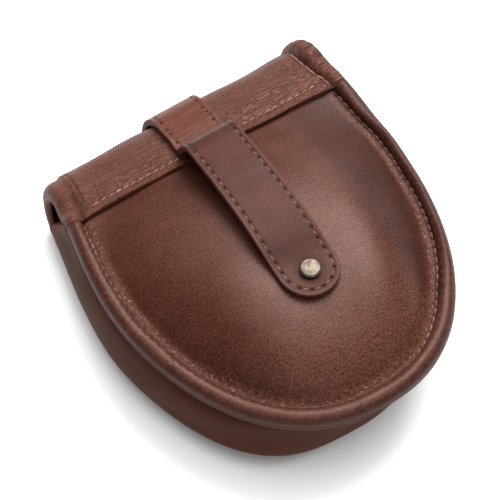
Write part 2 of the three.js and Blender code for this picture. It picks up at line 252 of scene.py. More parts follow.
def flat_sheet(level_x, level, tip_x, tip_along):
    """Flat places of a sheet: level rows, then those of its rounded end."""
    flat_x = np.concatenate([level_x, tip_x], axis=1)
    flat_along = np.concatenate([np.broadcast_to(level, level_x.shape), tip_along], axis=1)
    return np.stack([flat_x, flat_along], axis=-1)


def rolled_edge(flat, start):
    """First and last place of the edge that is rolled from a row on, and the line of its seam."""
    columns, rows = flat.shape[0] - 1, flat.shape[1] - 1
    seam = np.concatenate([flat[0, start:-1], flat[:-1, -1], flat[-1, start:][::-1]])
    return (start, 2 * rows + columns - start), seam


def strip_faces(strips):
    """Quads between neighbouring rows of point numbers."""
    a, b, c, d = strips[:-1, :-1], strips[:-1, 1:], strips[1:, 1:], strips[1:, :-1]
    return np.stack([a, b, c, d], axis=-1).reshape(-1, 4)


def leather_wall(name, flat, place, marks, wall, rolled=None, seam_in=ROLL.seam, edge_scale=1.0):
    """A closed wall on a grid of flat places, with a rolled or plainly cut edge round it.

    place(x, along, up, out, run) bends flat places into plan points: up is the height over the outer face,
    out the distance outside the seam and run the distance along it. rolled is the stretch of the edge, as the
    first and last place in the loop round the grid, that is rolled. marks gives masks that the finish reads.
    """
    columns, rows = flat.shape[0] - 1, flat.shape[1] - 1
    loop = [(0, j) for j in range(rows)] + [(i, rows) for i in range(columns)]
    loop += [(columns, j) for j in range(rows, 0, -1)] + [(i, 0) for i in range(columns, 0, -1)]
    loop_i, loop_j = np.array(loop).T
    edge = flat[loop_i, loop_j]
    first, last = rolled or (0, len(loop) - 1)
    before, after = np.roll(edge, 1, axis=0), np.roll(edge, -1, axis=0)
    if rolled:
        before[first], after[last] = edge[first], edge[last]
        cut_at = np.concatenate([np.arange(last, len(loop)), np.arange(first + 1)])
    else:
        cut_at = np.concatenate([np.arange(len(loop)), [0]])
    direction = unit(after - before)
    outward = np.column_stack([-direction[:, 1], direction[:, 0]]) * edge_scale
    seam = edge[first:last + 1]
    seam_run = run_along(seam)
    edge_run = np.interp(np.arange(len(loop)), np.arange(first, last + 1), seam_run)

    grid = flat.reshape(-1, 2)
    reach, nearest = nearest_on(seam, grid)
    blocks = [(grid, np.full(len(grid), up), -reach, seam_run[nearest]) for up in (0.0, -wall)]
    rings = [(cut_at, cut_section(wall))]
    if rolled:
        rings.append((np.arange(first, last + 1), roll_section(seam_in)))
    for at, section in rings:
        ring = edge[at][:, None] + outward[at][:, None] * section[None, :, :1]
        ups, outs = (np.broadcast_to(section[:, k], ring.shape[:2]).ravel() for k in (1, 0))
        blocks.append((ring.reshape(-1, 2), ups, outs, np.repeat(edge_run[at], len(section))))
    places, up, out, run = (np.concatenate(part) for part in zip(*blocks))
    x, along = places.T
    points = in_frame(place(x, along, up, out, run))

    number = np.arange(len(grid)).reshape(columns + 1, rows + 1)
    outer_faces = strip_faces(number)
    faces = outer_faces.tolist() + (outer_faces[:, ::-1] + len(grid)).tolist()
    on_edge = number[loop_i, loop_j]
    start = 2 * len(grid)
    strips = []
    for at, section in rings:
        ring = start + np.arange(len(at) * len(section)).reshape(len(at), -1)
        strips.append(np.column_stack([on_edge[at], ring, on_edge[at] + len(grid)]))
        faces += strip_faces(strips[-1]).tolist()
        start += ring.size
    if rolled:
        cut_strip, roll_strip = strips
        faces.append([*roll_strip[0, ::-1], *cut_strip[-1, 1:-1]])
        faces.append([*roll_strip[-1], *cut_strip[0, -2:0:-1]])
    masks = {mask: np.zeros(len(points)) for mask in MASKS}
    masks["flesh"][len(grid):2 * len(grid)] = 1
    masks |= marks(x, along, up, out, run)
    vectors = {"skin": np.column_stack([x, along, up]) * MM,
               "beside_seam": np.column_stack([run, out, up]) * MM}
    return leather_piece(name, points, faces, vectors, masks)


def nearest_on(line, places):
    """Distance from each place to the nearest point of a line, and which point that is."""
    reach, nearest = np.empty(len(places)), np.empty(len(places), int)
    batch = 2000
    for start in range(0, len(places), batch):
        part = slice(start, start + batch)
        gap = np.linalg.norm(places[part, None] - line[None], axis=2)
        reach[part], nearest[part] = gap.min(axis=1), gap.argmin(axis=1)
    return reach, nearest


def leather_piece(name, points, faces, vectors, masks):
    """A smooth closed mesh, facing out, with the places and masks that its finish reads."""
    fans = np.array([face[:3] for face in faces] + [[face[0], face[2], face[3]] for face in faces])
    a, b, c = (points[fans[:, k]] for k in range(3))
    if np.einsum("ij,ij->", a, np.cross(b, c)) < 0:
        faces = [face[::-1] for face in faces]
    mesh = bpy.data.meshes.new(name)
    mesh.from_pydata(points.tolist(), [], faces)
    for vector, values in vectors.items():
        mesh.attributes.new(vector, "FLOAT_VECTOR", "POINT").data.foreach_set("vector", values.ravel())
    for mask, values in masks.items():
        mesh.attributes.new(mask, "FLOAT", "POINT").data.foreach_set("value", values)
    return shown(mesh)


def shown(mesh):
    """A new smooth object for a finished mesh."""
    mesh.polygons.foreach_set("use_smooth", np.ones(len(mesh.polygons), bool))
    mesh.update()
    return in_scene(mesh.name, mesh)


def in_scene(name, data):
    """A new object for its data."""
    made = bpy.data.objects.new(name, data)
    bpy.context.scene.collection.objects.link(made)
    return made


def thread(name, lines, radius=STITCH.radius, rise=STITCH.rise, shortened=0.0):
    """Stitches as short slanted tubes. Each line gives its holes and the directions away from the leather."""
    sides, stations = STITCH.sides, STITCH.stations
    t = np.linspace(0, 1, stations)
    turn = np.arange(sides) * math.tau / sides
    arch = np.sin(math.pi * t)
    lift = (arch ** 0.5 * (rise + STITCH.sink) - STITCH.sink) * MM
    girth = radius * MM * (STITCH.ends + (1 - STITCH.ends) * arch)
    points, faces = [], []
    for holes, normals in lines:
        for start, end, up in zip(holes[:-1], holes[1:], normals[:-1] + normals[1:]):
            up = unit(up)
            way = end - start
            side = unit(np.cross(way, up))
            along = shortened + t * (1 - 2 * shortened)
            slant = (1 - 2 * t) * STITCH.slant * MM
            middle = start + along[:, None] * way + lift[:, None] * up + slant[:, None] * side
            ring = np.cos(turn)[:, None] * side + np.sin(turn)[:, None] * up
            number = len(points) * stations * sides + np.arange(stations * sides).reshape(stations, sides)
            points.append((middle[:, None] + girth[:, None, None] * ring[None]).reshape(-1, 3))
            faces += strip_faces(np.column_stack([number, number[:, :1]])).tolist()
            faces += [number[0].tolist(), number[-1, ::-1].tolist()]
    mesh = bpy.data.meshes.new(name)
    mesh.from_pydata(np.concatenate(points).tolist(), [], faces)
    return shown(mesh)


def stitch_line(place, x, along, out, run, pitch=STITCH.pitch):
    """Holes of a stitch line on a wall, one each stitch, and the directions away from the leather."""
    holes = np.arange(math.ceil(run[0] / pitch), run[-1] / pitch) * pitch
    at = [np.interp(holes, run, value) for value in (x, along, out)]
    level = np.zeros(len(holes))
    foot = in_frame(place(at[0], at[1], level, at[2], holes))
    head = in_frame(place(at[0], at[1], level + 1, at[2], holes))
    return foot, unit(head - foot)


# Back panel

PULL = Sizes(depth=0.7, inside=2.0, outside=1.5)
RIPPLE = Sizes(height=0.12, lag=0.8, reach=3.5)
LUMPS = Sizes(panel_inside=(4, 22), roll_out=(1, 4))
ROLLED = Sizes(seam=(-0.2, 1.2), crest_up=1.5, crest_reach=2.8, flank=0.6, flank_out=(1.5, 4), side_out=3.5,
               under_lip=(-0.65, 0.3), lip=(-1.4, 0.28), out=(-1, 1.5), lowest=-2)
# Puckers by the seam: a bump with light painted on it, widest along the bottom where the valley by the seam
# lies in shade
GATHERS = Sizes(out=(-1.8, 1.7), wide=(-4.2, 0.8, 3), wide_along=(50, 85), end_out=0.2)
# Painted shade on the panel's right slope and on the right part of its roll, carried in the seam mask
SHADE = Sizes(slope=0.85, slope_x=(32, 47), slope_inside=(2, 6), roll=0.5, roll_x=(44, 64), roll_out=(0, 2))
# Lower panel: coarser grain, lightened in colour as painted light where it lies in shade, with light specks
# painted as glints
COARSE_GRAIN_AND_LIGHT = Sizes(along=(66, 100), x=(-52, -22), inside=(0, 5))
panel_lumps = waves(seed=3, count=7, shortest=34, longest=70, height=0.4)
roll_lumps = waves(seed=5, count=6, shortest=16, longest=45, height=0.2)
pulls = waves(seed=7, count=5, shortest=9, longest=30, height=0.35)


def panel_place(x, along, up, out, run):
    y = -along
    uneven = 1 + pulls(run, 0 * run)
    hollow = uneven * bump(out, *VALLEY.out) * smooth(along, *VALLEY.along)
    full = bump(np.abs(x), *CHEEK.x) * bump(y, *CHEEK.y) * smooth(-out, *CHEEK.inside)
    ripple = np.cos(math.tau * run / STITCH.pitch + RIPPLE.lag) * np.exp(out / RIPPLE.reach) * (out < 0)
    z = dome_z(x, y) + up - VALLEY.depth * hollow + CHEEK.rise * full
    z += drawn_down(run, out, PULL.depth * uneven, PULL.inside, PULL.outside)
    z += RIPPLE.height * uneven * ripple
    z += panel_lumps(x, y) * smooth(-out, *LUMPS.panel_inside)
    z += roll_lumps(run, out) * smooth(out, *LUMPS.roll_out)
    right = smooth(x, *RIGHT_SEAM.x) * smooth(along, *RIGHT_SEAM.along)
    near_seam = smooth(out, *RIGHT_SEAM.inside) * (1 - smooth(out, *RIGHT_SEAM.outside))
    return np.column_stack([x + RIGHT_SEAM.shift * right * near_seam, y, z])


def rolled_marks(out, up, seam_in):
    """Masks of a rolled edge: its seam, painted shade on the roll's flank and in the step under it, the worn
    crest of the roll and the lip of its cut edge.
    """
    beyond = out - seam_in
    at_side = beyond > ROLLED.side_out
    in_seam = bump(out, *ROLLED.seam) * (up < ROLLED.crest_up) * (up > OUTER_FACE)
    # Painted shade on the roll's outer flank and in the step under the roll, taken into the seam mask
    flank = ROLLED.flank * smooth(beyond, *ROLLED.flank_out) + bump(up, *ROLLED.under_lip) * at_side
    crest = bump(beyond, 0, ROLLED.crest_reach) * (out > 0) * (up > ROLLED.crest_up)
    return {"seam": np.maximum(in_seam, flank), "crest": crest, "lip": bump(up, *ROLLED.lip) * at_side,
            "rolled": smooth(out, *ROLLED.out) * (up > ROLLED.lowest)}


def panel_marks(x, along, up, out, run):
    """Masks of the rolled edge, puckers with painted light by the seam, painted shade on the right slope and
    roll, and coarser grain with painted light at the bottom.
    """
    outer = up > OUTER_FACE
    wide = ridge(out, *GATHERS.wide) * smooth(along, *GATHERS.wide_along)
    gathered = np.maximum(bump(out, *GATHERS.out), wide) * (out < GATHERS.end_out) * outer
    # painted shade on the right slope and the right roll
    slope = SHADE.slope * smooth(x, *SHADE.slope_x) * smooth(-out, *SHADE.slope_inside) * outer
    roll = SHADE.roll * smooth(x, *SHADE.roll_x) * smooth(out, *SHADE.roll_out)
    masks = rolled_marks(out, up, SEAM_IN) | {"pucker": gathered}
    masks["seam"] = np.maximum(masks["seam"], slope + roll)
    # coarser grain on the lower panel, with painted light and painted glints
    bottom = smooth(along, *COARSE_GRAIN_AND_LIGHT.along) * smooth(x, *COARSE_GRAIN_AND_LIGHT.x)
    masks["coarse_grain_and_painted_light"] = bottom * smooth(-out, *COARSE_GRAIN_AND_LIGHT.inside) * outer
    return masks


def back_panel():
    tucked, straight, rounded, columns = 14, 24, 116, 112
    u = spaced(columns)[:, None]
    y = np.concatenate([np.linspace(PANEL.top, PANEL.tucked_to, tucked),
                        np.linspace(PANEL.rolled_from, 0, straight, endpoint=False)])[None]
    inset = np.where(y >= PANEL.tucked_to, PANEL.inset + ROLL.seam - SEAM_IN, 0)
    v = spaced(2 * rounded)[None, rounded:]
    top_x = u * (rim_half_width(y) - SEAM_IN - inset)
    bottom_x, bottom_y = tongue(u, v, RIM.power)
    flat = flat_sheet(top_x, -y, bottom_x * (RIM.half_width - SEAM_IN), bottom_y * (RIM.depth - SEAM_IN))
    rolled, seam = rolled_edge(flat, tucked)
    panel = leather_wall("back_panel_leather", flat, panel_place, panel_marks, LEATHER, rolled, SEAM_IN)
    return panel, stitch_line(panel_place, *seam.T, np.zeros(len(seam)), run_along(seam))


# Flap

FLAP_BACK = FLAP.fold_y - FLAP.sewn_edge
FLAP_ROUND = math.pi * FOLD_RADIUS
FLAP_TURNED = FLAP_BACK + FLAP_ROUND
FLAP_FRONT = FLAP.fold_y - FLAP.front_end - ROLL.seam - ROLL.radius
SEWN = Sizes(inset=4.3, edge=0.02, end_gap=2, steps=200, depth=0.42, reach=1.3)
FLAP_SEAM = Sizes(depth=0.45, inside=2.2, outside=1.4, left_share=0.8)
FLAP_TOP = Sizes(inside=(1, 10), turned=0.6)
ROLL_BLEND = Sizes(width=1.2, left_corner=2.4)
GROOVE = (0.8, 1.2, 0.8)
CREASE = Sizes(places=(-3.5, 3.0, 8.0, 15.0), depth=0.8, reach=1.1, out=(5.5, 3.5))
END_CREASE = Sizes(x=(-55, 6), along=(2, 8), stretch=0.5)
LEFT_CORNER = Sizes(rise=0.7, rise_reach=4, shift=3, inside=(-22, 0), outside=(0.5, 8.5))
# Flap marks: darkness of the sewn line, and painted shade in the right corner's groove and creases
FLAP_MARKS = Sizes(sewn=(0.6, 0.8), groove=(0.4, 1.3, 0.7), crease=(0.7, 0.8), crease_out=(5, 2.5),
                   left_seam=0.75, rolled=0.35)
flap_lumps = waves(seed=11, count=6, shortest=22, longest=60, height=0.3)
end_creases = waves(seed=13, count=5, shortest=1.9, longest=3.4, height=0.09)


def flap_half(along):
    """Half the distance between the flap's side seams, by distance along it from its sewn edge."""
    return rim_half_width(FLAP.sewn_edge + np.minimum(along, FLAP_BACK)) - ROLL.seam


def flap_corner(along):
    """1 at the top corners, fading to the sewn edge and to the front."""
    turned = (along - FLAP_BACK) / FLAP_ROUND
    return smooth(FLAP.sewn_edge + along, CORNER.start, CORNER.end) * (1 - smooth(turned, CORNER.fade, 1))


def flap_corners(x, along):
    """How near each place is to the left top corner and to the right one."""
    corner = flap_corner(along)
    return corner * (x < 0), corner * (x > 0)


def flap_shape(flat_x, along, up):
    """Plan point on the flap, by distance along it from its sewn edge."""
    half = flap_half(along)
    corner = flap_corner(along)
    blend = ROLL_BLEND.width + ROLL_BLEND.left_corner * corner * (flat_x < 0)
    on_roll = smooth(np.abs(flat_x), half, half + blend)
    slump = on_roll * corner * np.where(flat_x < 0, CORNER.left_drop, CORNER.right_drop)
    drawn_in = np.where(flat_x < half, smooth(flat_x, half - CORNER.blend, half),
                        1 - (flat_x - half) / (ROLL.seam + ROLL.radius))
    x = flat_x - corner * CORNER.right_seam * drawn_in
    back_y = FLAP.sewn_edge + along
    down = smooth(back_y, FLAP.descent, FLAP.fold_y)
    overlap = CURVED_GAP + LEATHER
    back_z = (dome_z(x, back_y) + overlap) * (1 - down) + FLAP.fold_top * down
    back_z = back_z + up - slump - overlap * (1 - down) * on_roll
    turn = math.pi / 2 - math.pi * np.clip((along - FLAP_BACK) / FLAP_ROUND, 0, 1)
    radius = FOLD_RADIUS + up - slump
    fold_y, fold_z = FLAP.fold_y + radius * np.cos(turn), FOLD_Z + radius * np.sin(turn)
    front_y = FLAP.fold_y - (along - FLAP_TURNED)
    on_back, on_fold = along <= FLAP_BACK, along <= FLAP_TURNED
    y = np.where(on_back, back_y, np.where(on_fold, fold_y, front_y))
    z = np.where(on_back, back_z, np.where(on_fold, fold_z, ROLL_RISE - up))
    return np.column_stack([x, y, z])


def flap_place(x, along, up, out, run):
    at_left, at_right = flap_corners(x, along)
    on_top = 1 - smooth(along, FLAP_BACK + FLAP_TOP.turned * FLAP_ROUND, FLAP_TURNED)
    inside = out < 0
    seam_depth = FLAP_SEAM.depth * (1 - FLAP_SEAM.left_share * at_left)
    level = up + drawn_down(run, out, seam_depth, FLAP_SEAM.inside, FLAP_SEAM.outside)
    level += drawn_down(x, along - SEWN.inset, SEWN.depth, SEWN.reach, SEWN.reach) * inside
    level += flap_lumps(x, along) * on_top * smooth(-out, *FLAP_TOP.inside)
    level -= ridge(out, *GROOVE) * at_right
    for place in CREASE.places:
        crease = ridge(along - FLAP_BACK, place, CREASE.depth, CREASE.reach)
        level -= crease * bump(out, *CREASE.out) * (x > 0)
    left_end = bump(x, *END_CREASE.x) * on_top * smooth(along, *END_CREASE.along) * inside
    level += end_creases(x, END_CREASE.stretch * along) * left_end
    level += LEFT_CORNER.rise * at_left * np.exp(np.minimum(out, 0) / LEFT_CORNER.rise_reach) * inside
    points = flap_shape(x, along, level)
    near_seam = smooth(out, *LEFT_CORNER.inside) * (1 - smooth(out, *LEFT_CORNER.outside))
    points[:, 0] += LEFT_CORNER.shift * at_left * near_seam
    return points


def flap_marks(x, along, up, out, run):
    """Masks of the rolled edge, softer at the left corner, the sewn edge, and painted shade in the right
    corner's groove and creases.
    """
    masks = rolled_marks(out, up, ROLL.seam)
    at_left, at_right = flap_corners(x, along)
    dark = ridge(along, SEWN.inset, *FLAP_MARKS.sewn) * (out < 0)
    # Painted shade in the right corner's groove and in its creases
    dark += ridge(out, *FLAP_MARKS.groove) * at_right * (up > OUTER_FACE)
    for place in CREASE.places:
        crease = ridge(along - FLAP_BACK, place, *FLAP_MARKS.crease)
        dark += crease * bump(out, *FLAP_MARKS.crease_out) * (x > 0)
    masks["seam"] = np.maximum(masks["seam"] * (1 - FLAP_MARKS.left_seam * at_left), dark)
    masks["rolled"] = FLAP_MARKS.rolled * masks["rolled"] * (1 - at_left)
    masks["cut"] = (along < SEWN.edge) * (up < CUT_FROM) * (out < ROLL.seam - ROLL.radius) * 1.0
    return masks


def flap():
    back_rows, fold_rows, front_rows, columns = 40, 60, 60, 116
    u = spaced(columns)[:, None]
    level = np.concatenate([np.linspace(0, FLAP_BACK, back_rows, endpoint=False),
                            FLAP_BACK + FLAP_ROUND * np.linspace(0, 1, fold_rows, endpoint=False)])[None]
    tip_x, tip_y = tongue(u, spaced(2 * front_rows)[None, front_rows:], FLAP.power)
    level_x = u * flap_half(level)
    flat = flat_sheet(level_x, level, tip_x * flap_half(FLAP_BACK), FLAP_TURNED + tip_y * FLAP_FRONT)
    edge, seam = rolled_edge(flat, 0)
    piece = leather_wall("flap_leather", flat, flap_place, flap_marks, LEATHER, edge)
    shows = slice(back_rows + fold_rows // 2, None)
    rolled = stitch_line(flap_place, *seam[shows].T, np.zeros(len(seam))[shows], run_along(seam)[shows])
    sewn_half = flap_half(SEWN.inset) - SEWN.end_gap
    sewn_x = np.linspace(-sewn_half, sewn_half, SEWN.steps)
    inset = np.full(SEWN.steps, SEWN.inset)
    sewn = stitch_line(flap_place, sewn_x, inset, -inset, sewn_x)
    return piece, [rolled, sewn]


# Gusset and front panel

def course(z, table):
    """The value of the gusset's courses at a height, by Hermite steps with central slopes."""
    at, values = np.array(COURSE_Z[::-1]), np.array(table[::-1], float)
    slope = np.gradient(values, at)
    k = np.clip(np.searchsorted(at, z) - 1, 0, len(at) - 2)
    step = at[k + 1] - at[k]
    t = (z - at[k]) / step
    return ((1 + 2 * t) * (1 - t) ** 2 * values[k] + t * (1 - t) ** 2 * step * slope[k]
            + t * t * (3 - 2 * t) * values[k + 1] - t * t * (1 - t) * step * slope[k + 1])


def rim_line(side_steps, bottom_steps):
    """Points of the rim line from its left top end round to its right one, and the directions outwards."""
    side_y = np.linspace(GUSSET_END.y, 0, side_steps, endpoint=False)
    side = np.column_stack([-rim_half_width(side_y), side_y])
    angle = math.pi * (1 + np.linspace(0, 1, bottom_steps + 1))
    power = 2 / RIM.power
    bottom_x = RIM.half_width * np.sign(np.cos(angle)) * np.abs(np.cos(angle)) ** power
    bottom = np.column_stack([bottom_x, -RIM.depth * np.abs(np.sin(angle)) ** power])
    points = np.concatenate([side, bottom, side[::-1] * (-1, 1)])
    direction = unit(np.gradient(points, axis=0))
    return points, np.column_stack([direction[:, 1], -direction[:, 0]])


RIM_POINTS, RIM_OUT = rim_line(side_steps=40, bottom_steps=240)
RIM_RUN = run_along(RIM_POINTS)
WORN_END = 8
LUMP_SQUEEZE = 2
gusset_lumps = waves(seed=21, count=6, shortest=26, longest=64, height=0.45)


def gusset_reach(z, out_x, out_y):
    """How far the gusset stands outside the rim line at a height, where the rim faces (out_x, out_y)."""
    right, down = np.maximum(0, out_x), np.maximum(0, -out_y)
    power = np.where(out_x > 0, RIGHT_GUSSET.power, BULGE.power)
    full = BULGE.side - BULGE.dip * down ** power - RIGHT_GUSSET.tuck * right * down
    return course(z, COURSE_SEAT) + course(z, COURSE_BULGE) * full


def gusset_place(x, along, up, out, run):
    """x is the distance along the rim line and along the depth below the gusset's top edge."""
    z = COURSE_Z[0] - along
    foot = COURSE_Z[-1]
    point_x, point_y = along_line(x, RIM_RUN, RIM_POINTS)
    out_x, out_y = along_line(x, RIM_RUN, RIM_OUT)
    depth = np.clip(along / (COURSE_Z[0] - foot), 0, 1)
    level = np.clip(z, foot, COURSE_Z[0])
    reach = gusset_reach(level, out_x, out_y) + up
    reach += gusset_lumps(x, LUMP_SQUEEZE * along) * np.sin(math.pi * depth)
    to_end = np.clip((point_y - GUSSET_END.start) / (GUSSET_END.y - GUSSET_END.start), 0, 1)
    y = point_y + (course(level, COURSE_END) - GUSSET_END.y) * to_end
    return np.column_stack([point_x + out_x * reach, y + out_y * reach, z])


def plain_marks(x, along, up, out, run):
    return {"cut": (out > 0) * (up < CUT_FROM) * 1.0}


def gusset_marks(x, along, up, out, run):
    worn_ends = np.maximum(bump(x, 0, WORN_END), bump(x, RIM_RUN[-1], WORN_END))
    return plain_marks(x, along, up, out, run) | {"faded": worn_ends}


def gusset():
    rows, columns = 31, 301
    along = np.linspace(0, COURSE_Z[0] - COURSE_Z[-1], rows)
    x = np.linspace(0, RIM_RUN[-1], columns)
    flat = np.stack(np.meshgrid(x, along, indexing="ij"), axis=-1)
    return leather_wall("gusset_leather", flat, gusset_place, gusset_marks, GUSSET_WALL)


# The front: share of the half rim that its rows take up, half its width, and scale of its edge on the grid
FRONT_GRID = Sizes(end=0.985, half_width=60, edge=0.02)
front_lumps = waves(seed=31, count=6, shortest=30, longest=70, height=0.3)


def front_place(x, along, up, out, run):
    """x is -1 to 1 across the front and along the distance down the left half of the rim line."""
    reach = gusset_reach(np.array([COURSE_Z[-1]]), *RIM_OUT.T) - GUSSET_WALL - GAP
    foot = RIM_POINTS + RIM_OUT * reach[:, None]
    left_x, left_y = along_line(along, RIM_RUN, foot)
    right_x, right_y = along_line(RIM_RUN[-1] - along, RIM_RUN, foot)
    u = np.clip(x, -1, 1)
    across = (u + 1) / 2
    y = np.minimum(left_y + across * (right_y - left_y), FRONT.mouth)
    sag = FRONT.sag * (1 - u * u) * smooth(y, *FRONT.sag_y)
    lump = front_lumps(FRONT_GRID.half_width * u, y) * (1 - u * u)
    return np.column_stack([left_x + across * (right_x - left_x), y, FRONT.edge_z - sag - up + lump])


def front_panel():
    rows, columns = 90, 61
    along = np.linspace(0, RIM_RUN[-1] / 2 * FRONT_GRID.end, rows)
    flat = np.stack(np.meshgrid(np.linspace(-1, 1, columns), along, indexing="ij"), axis=-1)
    return leather_wall("front_panel_leather", flat, front_place, plain_marks, LEATHER,
                        edge_scale=FRONT_GRID.edge)


# Belt strap

def smooth_path(points, steps):
    """Points along a centripetal Catmull-Rom curve through the given ones."""
    ends = np.concatenate([[2 * points[0] - points[1]], points, [2 * points[-1] - points[-2]]])
    gap = np.sqrt(np.linalg.norm(np.diff(ends, axis=0), axis=1))[:, None]
    t = np.linspace(0, 1, steps, endpoint=False)[:, None]
    pieces = []
    for k in range(len(points) - 1):
        p0, p1, p2, p3 = ends[k:k + 4]
        g0, g1, g2 = gap[k:k + 3]
        leave = g1 * ((p1 - p0) / g0 - (p2 - p0) / (g0 + g1) + (p2 - p1) / g1)
        arrive = g1 * ((p2 - p1) / g1 - (p3 - p1) / (g1 + g2) + (p3 - p2) / g2)
        pieces.append(p1 + leave * t + (3 * (p2 - p1) - 2 * leave - arrive) * t ** 2
                      + (2 * (p1 - p2) + leave + arrive) * t ** 3)
    return np.concatenate(pieces + [points[-1:]])


def strap_path():
    """Plan (y, z) of the strap's inner face, from its sewn front end to its tail."""
    on_front = [(y, ROLL_RISE - STRAP.gap) for y in STRAP_ON_FRONT]
    fold_places, steps = 9, 40
    turn = math.pi * (np.linspace(0, 1, fold_places) - 0.5)
    radius = FOLD_RADIUS + STRAP.gap
    on_fold = np.column_stack([FLAP.fold_y + radius * np.cos(turn), FOLD_Z + radius * np.sin(turn)])
    flap_y = np.array(STRAP_ON_FLAP, float)
    on_flap = flap_shape(0 * flap_y, flap_y - FLAP.sewn_edge, 0 * flap_y + STRAP.gap)[:, 1:]
    tail_y = np.array([*STRAP_ON_PANEL, STRAP.tail])
    on_panel = np.column_stack([tail_y, dome_z(0 * tail_y, tail_y) + CURVED_GAP])
    bridge = np.column_stack([BRIDGE_Y, BRIDGE_Z])
    return smooth_path(np.concatenate([on_front, on_fold, on_flap, bridge, on_panel]), steps)


STRAP_PATH = strap_path()
STRAP_RUN = run_along(STRAP_PATH)
STRAP_WAY = np.gradient(STRAP_PATH, STRAP_RUN, axis=0)
STRAP_LENGTH = STRAP_RUN[-1]
STRAP_HALF = STRAP.width / 2
TAIL_CENTRE = STRAP_LENGTH - STRAP_HALF
STRAP_EDGE = 0.01
STRAP_STITCH = Sizes(inset=2.3, start=2, lift=0.4)
DENT = Sizes(line=(0.16, 0.6), hole=(0.55, 0.42), snap=(0.4, 6.5))
# Strap marks; the ring is a shadow painted round the snap cap
STRAP_MARKS = Sizes(line=(0.45, 0.6), ring=(5.2, 0.5, 1.8), layers=1.2, layer_reach=0.3, crest=(0.2, 0.7),
                    lip=(0.1, 0.06, 0.5), hole_reach=0.62, bend=(-4, 3))
strap_lumps = waves(seed=41, count=5, shortest=14, longest=40, height=0.08)


def strap_stitch_plan():
    """Flat places of the strap's stitch line, up its left side, round the tail and back."""
    inset, side_steps, tail_steps = STRAP_HALF - STRAP_STITCH.inset, 400, 80
    side = np.linspace(STRAP_STITCH.start, TAIL_CENTRE, side_steps, endpoint=False)
    turn = np.linspace(math.pi, 0, tail_steps)
    level = np.full(side_steps, inset)
    x = np.concatenate([-level, inset * np.cos(turn), level])
    return np.column_stack([x, np.concatenate([side, TAIL_CENTRE + inset * np.sin(turn), side[::-1]])])


STITCH_PLAN = strap_stitch_plan()
STITCH_RUN = run_along(STITCH_PLAN)
HOLE_RUN = np.arange(0, STITCH_RUN[-1], STRAP_PITCH)
STRAP_HOLES = np.column_stack([*along_line(HOLE_RUN, STITCH_RUN, STITCH_PLAN)])


def edge_distance(x, along):
    round_tail = np.hypot(x, along - TAIL_CENTRE)
    return STRAP_HALF - np.where(along > TAIL_CENTRE, round_tail, np.abs(x))


def hole_distance(x, along):
    return nearest_on(STRAP_HOLES, np.column_stack([x, along]))[0]


def snap_distance(x, along):
    return np.hypot(x, along - SNAP_ALONG)


def strap_along(y):
    """Distance along the strap to a place behind the fold."""
    behind = STRAP_RUN > STRAP_RUN[STRAP_PATH[:, 0].argmax()]
    return np.interp(-y, -STRAP_PATH[behind, 0], STRAP_RUN[behind])


SNAP_ALONG, BEND_ALONG = strap_along(SNAP.y), strap_along(BRIDGE_Y[2])


def strap_place(x, along, up, out, run):
    t = np.clip(along, 0, STRAP_LENGTH)
    y, z = along_line(t, STRAP_RUN, STRAP_PATH)
    way_y, way_z = along_line(t, STRAP_RUN, STRAP_WAY)
    face = (up > -0.5 * STRAP_WALL) & (out < STRAP_EDGE)
    dent = ridge(edge_distance(x, along), STRAP_STITCH.inset, *DENT.line)
    dent += ridge(hole_distance(x, along), 0, *DENT.hole) + ridge(snap_distance(x, along), 0, *DENT.snap)
    reach = STRAP_WALL + up + (strap_lumps(x, along) - dent) * face
    return np.column_stack([x, y + way_z * reach, z - way_y * reach])


def strap_marks(x, along, up, out, run):
    """Masks of the stitch line, painted shade in its holes, a shadow painted round the snap, the lighter part
    up to the bend and the layers' edges.
    """
    edge = edge_distance(x, along)
    face = (up > CUT_FROM) * 1.0
    at_edge = (out > STRAP_EDGE) * (up < CUT_FROM) * 1.0
    layers_meet = at_edge * bump(up, -0.5 * STRAP_WALL, STRAP_MARKS.layer_reach)
    sewn = ridge(edge, STRAP_STITCH.inset, *STRAP_MARKS.line)
    # A dark ring painted round the snap cap as its shadow
    painted_snap_shadow = ridge(snap_distance(x, along), *STRAP_MARKS.ring)
    return {"seam": face * (sewn + painted_snap_shadow) + STRAP_MARKS.layers * layers_meet,
            "crest": face * bump(edge, *STRAP_MARKS.crest),
            "lip": face * ridge(edge, *STRAP_MARKS.lip),
            "faded": 1 - smooth(along - BEND_ALONG, *STRAP_MARKS.bend),
            "cut": at_edge * (1 - layers_meet),
            # Painted shade in the stitch holes
            "hole": face * bump(hole_distance(x, along), 0, STRAP_MARKS.hole_reach)}


def strap_stitch_place(x, along, up, out, run):
    return strap_place(x, along, up + STRAP_STITCH.lift, out, run)


def belt_strap():
    straight, rounded, columns = 400, 40, 44
    u = spaced(columns)[:, None]
    side = np.linspace(0, TAIL_CENTRE, straight, endpoint=False)[None]
    tail_x, tail_y = tongue(u, np.linspace(0, 1, rounded)[None], power=2)
    side_x = np.broadcast_to(u * STRAP_HALF, (len(u), straight))
    flat = flat_sheet(side_x, side, tail_x * STRAP_HALF, TAIL_CENTRE + tail_y * STRAP_HALF)
    strap = leather_wall("belt_strap_leather", flat, strap_place, strap_marks, STRAP_WALL)
    on_face = np.full(len(STITCH_RUN), -1.0)
    return strap, stitch_line(strap_stitch_place, *STITCH_PLAN.T, on_face, STITCH_RUN, STRAP_PITCH)


# Snap

# The cap: foot as a share of its radius, rings (rise, width in feet) and steps of its top (inset, rise)
CAP = Sizes(sides=48, foot=0.95, rounding=2, rings=((0.55, 1.05), (0.5, 1.0), (0.4, 0.93), (0.2, 0.8)),
            steps=((0.35, -0.12), (0.35, 0.16), (1.4, 0.12)))


